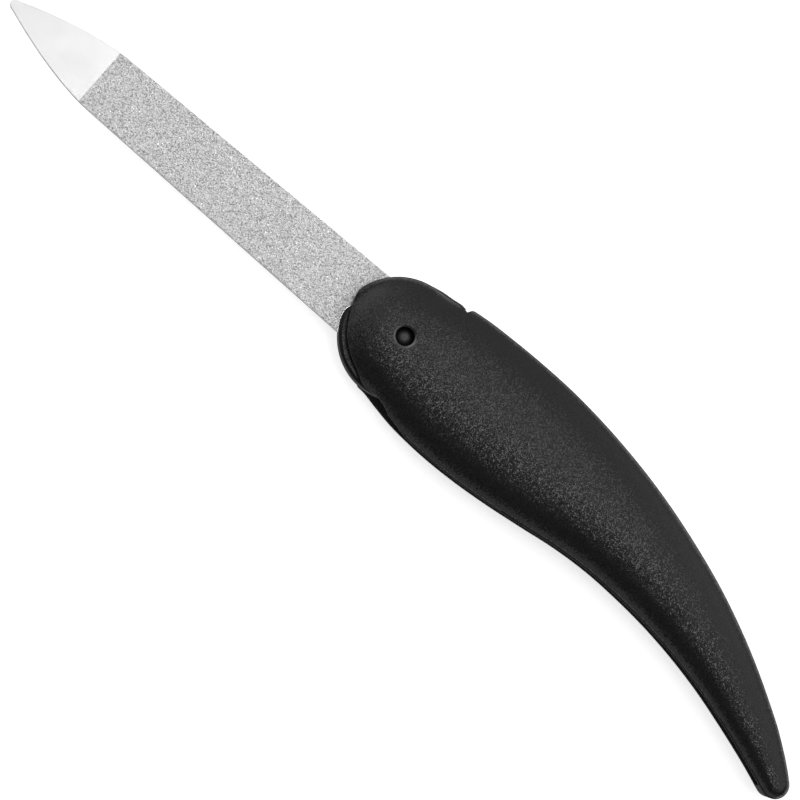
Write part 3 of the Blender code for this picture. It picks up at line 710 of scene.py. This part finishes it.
def make_spine(outline, material):
    """The strip behind the slot: seat for the hub, wall along the spine, block in the tail."""
    half = SLOT_WIDTH / 2 - SEAM_GAP
    seat_radius = HUB_RADIUS + SEAT_GAP
    stop_angle = HUB_TAIL_ANGLE - STOP_GAP / seat_radius
    stop = polar(seat_radius + OVERRUN, stop_angle)
    start = next(i for i, point in enumerate(outline.spine) if point.x < stop.x)
    end = outline.index_at(SLOT_END_SHARE)
    blend = outline.index_at(SEAT_BLEND_SHARE)
    outer = [stop] + outline.spine[start:] + outline.tail[1:-1] + outline.belly[:end - 1:-1]
    wall = [outline.spine[i] + outline.square_to(outline.spine, i) * SPINE_WALL
            for i in range(end, blend - 1, -1)]
    seat = arc(seat_radius, HUB_TAIL_ANGLE - SEAT_SWEEP, stop_angle, FLANK_STEPS)
    steps = [("DIFFERENCE", notch_mesh())]
    for share in BOSS_SHARES:
        i = outline.index_at(share)
        centre = outline.spine[i] + outline.square_to(outline.spine, i) * (BOSS_RADIUS + SEAM_GAP)
        steps.append(("UNION", rod_mesh("boss", centre, BOSS_RADIUS, -half, half)))
    folded = [polar(point.length, math.atan2(point.y, point.x) + FOLD_ANGLE)
              for point in blade_outline(BLADE_SLOT_GAP)]
    steps.append(("DIFFERENCE", prism_mesh("folded_blade", folded, -SLOT_WIDTH, SLOT_WIDTH)))
    mesh = shaped(prism_mesh("spine", outer + wall + seat, -half, half), steps, True)
    link_object("spine_strip", mesh, "handle", "spine_spacer", material)


def coat_mesh(name, face, seed):
    """The bonded crystals as a fine uneven crust with a straight front edge."""
    random = np.random.default_rng(seed)
    front_x = BLADE_REACH - BARE_LENGTH
    edge = [point for point in hub_outline(COAT_HUB_GAP)
            if point.x > 0.0 and abs(point.y) < BLADE_ROOT_WIDTH / 2 + GRIT_SPACING]
    edge_y = np.array([point.y for point in edge])
    edge_x = np.array([point.x for point in edge])
    rows = int(BLADE_ROOT_WIDTH / GRIT_SPACING)
    steps = int((front_x - HUB_RADIUS) / GRIT_SPACING)
    across = np.linspace(-1.0, 1.0, rows + 1)[:, None]
    along = np.linspace(0.0, 1.0, steps + 1)[None, :]
    half_width = np.vectorize(lambda at: blade_half_width(at) - COAT_SIDE_MARGIN)
    root_y = across * (blade_half_width(HUB_RADIUS) - COAT_SIDE_MARGIN)
    start_x = np.interp(root_y, edge_y, edge_x)
    x = start_x + (front_x - start_x) * along
    inner = np.ones_like(x)
    inner[[0, -1], :] = 0.0
    inner[:, [0, -1]] = 0.0
    jitter = GRIT_SPACING * GRIT_JITTER_SHARE
    x = x + random.uniform(-jitter, jitter, x.shape) * inner
    y = across * half_width(x) + random.uniform(-jitter, jitter, x.shape) * inner
    near = BLADE_THICKNESS / 2 + COAT_LIFT
    crest = random.uniform(0.0, 1.0, x.shape) ** GRIT_CREST_POWER
    rise = GRIT_FLOOR_SHARE + (1.0 - GRIT_FLOOR_SHARE) * crest * inner
    z = near + COAT_BED + (COAT_THICKNESS - COAT_BED) * rise
    top = np.stack([x, y, z], -1).reshape(-1, 3)
    count = (rows + 1) * (steps + 1)
    index = np.arange(count).reshape(rows + 1, steps + 1)
    rim = np.concatenate([index[0, :-1], index[:-1, -1], index[-1, :0:-1], index[:0:-1, 0]])
    base = top[rim].copy()
    base[:, 2] = near
    points = np.concatenate([top, base])
    points[:, 2] *= face
    quads = np.stack([index[:-1, :-1], index[1:, :-1], index[1:, 1:], index[:-1, 1:]], -1).reshape(-1, 4)
    faces = [tuple(quad) for quad in quads.tolist()]
    size = len(rim)
    for i in range(size):
        j = (i + 1) % size
        faces.append((int(rim[i]), int(rim[j]), count + j, count + i))
    faces.append(tuple(range(count, count + size)))
    mesh = bpy.data.meshes.new(name)
    mesh.from_pydata(points.tolist(), [], faces)
    build = bmesh.new()
    build.from_mesh(mesh)
    bmesh.ops.recalc_face_normals(build, faces=build.faces)
    bmesh.ops.triangulate(build, faces=build.faces)
    build.to_mesh(mesh)
    build.free()
    return mesh


def make_coat(name, node, face, seed, material):
    link_object(name, coat_mesh(name, face, seed), "blade", node, material)


class Nodes:
    """A short way to lay out a material's nodes."""

    def __init__(self, name):
        self.material = bpy.data.materials.new(name)
        self.material.use_nodes = True
        self.tree = self.material.node_tree
        self.shader = self.tree.nodes["Principled BSDF"]
        self.place = self.add("ShaderNodeTexCoord").outputs["Object"]

    def add(self, kind, **settings):
        node = self.tree.nodes.new(kind)
        for key, value in settings.items():
            setattr(node, key, value)
        return node

    def wire(self, source, target):
        self.tree.links.new(source, target)

    def noise(self, size, detail=2.0, roughness=0.5):
        node = self.add("ShaderNodeTexNoise")
        node.inputs["Scale"].default_value = 1.0 / size
        node.inputs["Detail"].default_value = detail
        node.inputs["Roughness"].default_value = roughness
        self.wire(self.place, node.inputs["Vector"])
        return node.outputs["Fac"]

    def cells(self, size):
        node = self.add("ShaderNodeTexVoronoi")
        node.inputs["Scale"].default_value = 1.0 / size
        self.wire(self.place, node.inputs["Vector"])
        return node.outputs["Color"]

    def grain_values(self, grains):
        """Three random values of each grain, as outputs named Red, Green and Blue."""
        node = self.add("ShaderNodeSeparateColor")
        self.wire(grains, node.inputs["Color"])
        return node.outputs

    def ramp(self, source, stops):
        """A grey for each value of the source, from places and values."""
        stops = list(stops)
        node = self.add("ShaderNodeValToRGB")
        elements = node.color_ramp.elements
        while len(elements) < len(stops):
            elements.new(0.5)
        for element, (position, value) in zip(elements, stops):
            element.position = position
            element.color = (value, value, value, 1.0)
        self.wire(source, node.inputs["Fac"])
        return node.outputs["Color"]

    def bump(self, source, strength, distance):
        node = self.add("ShaderNodeBump")
        node.inputs["Strength"].default_value = strength
        node.inputs["Distance"].default_value = distance
        self.wire(source, node.inputs["Height"])
        return node.outputs["Normal"]

    def vector(self, operation, first, second=None):
        node = self.add("ShaderNodeVectorMath", operation=operation)
        for socket, value in zip(node.inputs, (first, second)):
            if isinstance(value, tuple):
                socket.default_value = value
            elif value:
                self.wire(value, socket)
        return node

    def leaning(self, colour, lean):
        """The normal leant by a random colour, as if each grain had its own face."""
        lean_by = self.vector("SCALE", self.vector("SUBTRACT", colour, (0.5, 0.5, 0.5)).outputs[0])
        lean_by.inputs["Scale"].default_value = lean
        normal = self.add("ShaderNodeNewGeometry").outputs["Normal"]
        return self.vector("NORMALIZE", self.vector("ADD", normal, lean_by.outputs[0]).outputs[0]).outputs[0]

    def math(self, operation, first, second):
        node = self.add("ShaderNodeMath", operation=operation)
        for socket, value in zip(node.inputs, (first, second)):
            if isinstance(value, (int, float)):
                socket.default_value = value
            else:
                self.wire(value, socket)
        return node.outputs[0]

    def set(self, **values):
        """Plain values of the shader's own sockets; an underscore stands for a space."""
        for key, value in values.items():
            self.shader.inputs[key.replace("_", " ")].default_value = value


def plastic(name, dark, light, roughness, grain, lean, specular):
    """Black moulding of a spark-eroded tool: each fine grain leans its own way and sparkles."""
    nodes = Nodes(name)
    grains = nodes.cells(grain)
    values = nodes.grain_values(grains)
    colour = nodes.ramp(values["Red"], zip(PLASTIC_STOPS, (dark, light)))
    nodes.wire(colour, nodes.shader.inputs["Base Color"])
    levels = [roughness + spread for spread in PLASTIC_GLOSS_SPREAD]
    gloss = nodes.ramp(values["Green"], zip(PLASTIC_STOPS, levels))
    nodes.wire(gloss, nodes.shader.inputs["Roughness"])
    nodes.set(Specular_IOR_Level=specular)
    nodes.wire(nodes.leaning(grains, lean), nodes.shader.inputs["Normal"])
    return nodes.material


def edge_with_painted_shade(name, dark, light, metallic, specular):
    """Faces on edge: rougher than the faces that they join, and darker with little reflection, which is
    painted shade in place of the light they would catch.
    """
    nodes = Nodes(name)
    grains = nodes.noise(*EDGE_GRAIN)
    colour = nodes.ramp(grains, zip(EDGE_STOPS, (dark, light)))
    nodes.wire(colour, nodes.shader.inputs["Base Color"])
    nodes.set(Roughness=EDGE_ROUGHNESS, Metallic=metallic, Specular_IOR_Level=specular)
    nodes.wire(nodes.bump(grains, *EDGE_BUMP), nodes.shader.inputs["Normal"])
    return nodes.material


def side_faces(main, side, slopes):
    """Faces that stand on edge take the side material, a dark and almost unreflecting finish that is painted
    shade, in every piece of the main material.

    The slopes are cosines to the handle's thickness: the second holds for faces that look to the
    slot's open side, the first for all others.
    """
    steep, slot_steep = slopes
    for item in bpy.context.scene.objects:
        if item.type != "MESH" or not item.data.materials or item.data.materials[0] != main:
            continue
        item.data.materials.append(side)
        for face in item.data.polygons:
            limit = slot_steep if face.normal.y > abs(face.normal.x) else steep
            if abs(face.normal.z) < limit:
                face.material_index = len(item.data.materials) - 1


def lip_faces(name, material):
    """The dish round the bore's mouth takes the material of rubbed plastic."""
    mesh = bpy.data.objects[name].data
    mesh.materials.append(material)
    for face in mesh.polygons:
        reach = math.hypot(face.center.x, face.center.y)
        if reach < LIP_REACH and LIP_SLOPES[0] < abs(face.normal.z) < LIP_SLOPES[1]:
            face.material_index = len(mesh.materials) - 1


def polished_steel(name):
    """Nickel-bright steel with faint polishing lines along the blade and fine scuffs."""
    nodes = Nodes(name)
    nodes.set(Metallic=1.0)
    stretch = nodes.add("ShaderNodeMapping")
    stretch.inputs["Scale"].default_value = STEEL_STRETCH
    nodes.wire(nodes.place, stretch.inputs["Vector"])
    colour = nodes.ramp(nodes.noise(*STEEL_CLOUDS), STEEL_COLOURS)
    nodes.wire(colour, nodes.shader.inputs["Base Color"])
    nodes.place = stretch.outputs["Vector"]
    lines = nodes.noise(*STEEL_LINES)
    nodes.wire(nodes.ramp(lines, STEEL_GLOSS), nodes.shader.inputs["Roughness"])
    nodes.wire(nodes.bump(lines, *STEEL_BUMP), nodes.shader.inputs["Normal"])
    return nodes.material


def sapphire_grit(name):
    """Crushed crystals in a pale bond: each grain has its own grey and gloss."""
    nodes = Nodes(name)
    nodes.set(Metallic=GRIT_METALLIC)
    values = nodes.grain_values(nodes.cells(GRIT_CELL))
    nodes.wire(nodes.ramp(values["Red"], GRIT_COLOURS), nodes.shader.inputs["Base Color"])
    nodes.wire(nodes.ramp(values["Green"], GRIT_GLOSS), nodes.shader.inputs["Roughness"])
    nodes.wire(nodes.bump(values["Blue"], *GRIT_BUMP), nodes.shader.inputs["Normal"])
    return nodes.material


def blackened_metal(name):
    """The pin's dark, finely uneven oxide."""
    nodes = Nodes(name)
    nodes.set(Metallic=PIN_METALLIC)
    fine = nodes.noise(*PIN_GRAIN)
    nodes.wire(nodes.ramp(fine, PIN_COLOURS), nodes.shader.inputs["Base Color"])
    nodes.wire(nodes.ramp(fine, PIN_GLOSS), nodes.shader.inputs["Roughness"])
    return nodes.material


def white_stage(name):
    """Plain white: lit by the lamps, and lifted to white where it is seen or mirrored."""
    nodes = Nodes(name)
    nodes.set(Base_Color=(FLOOR_GREY, FLOOR_GREY, FLOOR_GREY, 1.0), Roughness=FLOOR_ROUGHNESS)
    nodes.set(Specular_IOR_Level=0.0, Emission_Color=(1.0, 1.0, 1.0, 1.0))
    path = nodes.add("ShaderNodeLightPath")
    seen = nodes.math("ADD", path.outputs["Is Camera Ray"], path.outputs["Is Glossy Ray"])
    seen = nodes.math("ADD", seen, path.outputs["Is Transmission Ray"])
    seen = nodes.math("MINIMUM", seen, 1.0)
    nodes.wire(nodes.math("MULTIPLY", seen, STAGE_LIFT), nodes.shader.inputs["Emission Strength"])
    return nodes.material


def make_stage():
    build = bmesh.new()
    bmesh.ops.create_grid(build, x_segments=1, y_segments=1, size=STAGE_HALF)
    mesh = mesh_from("floor", build)
    mesh.materials.append(white_stage("white_floor"))
    floor = bpy.data.objects.new("floor", mesh)
    floor.location = (0.0, 0.0, cad_low.z - FLOOR_GAP)
    bpy.context.scene.collection.objects.link(floor)


def make_lamp(name, tilt_x, tilt_y, width, depth, radiance):
    """A soft panel that faces the pivot and that the camera doesn't see."""
    lamp = bpy.data.lights.new(name, "AREA")
    lamp.shape = "RECTANGLE"
    lamp.size = 2 * LAMP_DISTANCE * math.tan(math.radians(width) / 2)
    lamp.size_y = 2 * LAMP_DISTANCE * math.tan(math.radians(depth) / 2)
    lamp.energy = radiance * lamp.size * lamp.size_y * math.pi
    item = bpy.data.objects.new(name, lamp)
    back = Vector((math.tan(math.radians(tilt_x)), math.tan(math.radians(tilt_y)), 1.0)).normalized()
    right = Vector((0.0, 1.0, 0.0)).cross(back).normalized()
    up = back.cross(right)
    turn = Matrix((right, up, back)).transposed().to_4x4()
    item.matrix_world = Matrix.Translation(PIVOT + back * LAMP_DISTANCE) @ turn
    item.visible_camera = False
    bpy.context.scene.collection.objects.link(item)


def make_lights():
    world = bpy.data.worlds.new("studio")
    bpy.context.scene.world = world
    world.use_nodes = True
    tree = world.node_tree
    background = tree.nodes["Background"]
    background.inputs["Color"].default_value = (1.0, 1.0, 1.0, 1.0)
    path = tree.nodes.new("ShaderNodeLightPath")
    level = tree.nodes.new("ShaderNodeMapRange")
    level.inputs["To Min"].default_value = WORLD_LEVEL
    level.inputs["To Max"].default_value = 1.0
    tree.links.new(path.outputs["Is Camera Ray"], level.inputs["Value"])
    tree.links.new(level.outputs["Result"], background.inputs["Strength"])
    for lamp in LAMPS:
        make_lamp(*lamp)


def make_camera():
    camera = bpy.data.cameras.new("camera")
    camera.sensor_width = CAMERA_SENSOR
    camera.lens = CAMERA_LENS
    camera.clip_start, camera.clip_end = CAMERA_CLIP
    item = bpy.data.objects.new("camera", camera)
    back = (CAMERA_PLACE - CAMERA_AIM).normalized()
    right = CAMERA_UP.cross(back).normalized()
    up = back.cross(right).normalized()
    turn = Matrix((right, up, back)).transposed().to_4x4()
    item.matrix_world = Matrix.Translation(PIVOT + CAMERA_PLACE) @ turn
    bpy.context.scene.collection.objects.link(item)
    bpy.context.scene.camera = item


bpy.context.scene.view_settings.view_transform = "Standard"
make_camera()
make_lights()
make_stage()

handle_black = plastic("handle_black", **HANDLE_BLACK)
hub_black = plastic("hub_black", **HUB_BLACK)
steel = polished_steel("polished_steel")
grit = sapphire_grit("sapphire_grit")
pin_black = blackened_metal("pin_black")

outline = Outline()
front_edges = [rim_edge(FRONT_RIM_END_SHARES), notch_edge(), relief_edge(outline)]
back_edges = [rim_edge(BACK_RIM_END_SHARES), notch_edge()]
make_cover("front_cover_shell", "front_cover", outline, 1.0, 0.0, front_edges, handle_black)
make_cover("back_cover_shell", "back_cover", outline, -1.0, REST_LAND_DEPTH, back_edges, handle_black)
make_spine(outline, handle_black)
make_pin(pin_black)
make_hub(hub_black)
make_blade(steel)
make_coat("grit_front", "abrasive_front", 1.0, FRONT_COAT_SEED, grit)
make_coat("grit_back", "abrasive_back", -1.0, BACK_COAT_SEED, grit)

rubbed = plastic("rubbed_black", **RUBBED_BLACK)
for shell in ("front_cover_shell", "back_cover_shell"):
    lip_faces(shell, rubbed)
# Painted shade: the handle's and hub's faces on edge go black and nearly unreflecting.
painted_shade_edge = edge_with_painted_shade("painted_shade_edge", **PAINTED_SHADE_EDGE)
# Painted shade: the blade's side faces are coloured dark.
steel_side_painted_shade = edge_with_painted_shade("steel_side_painted_shade", **STEEL_SIDE_PAINTED_SHADE)
side_faces(handle_black, painted_shade_edge, HANDLE_EDGE_SLOPES)
side_faces(hub_black, painted_shade_edge, HUB_EDGE_SLOPES)
side_faces(steel, steel_side_painted_shade, STEEL_EDGE_SLOPES)
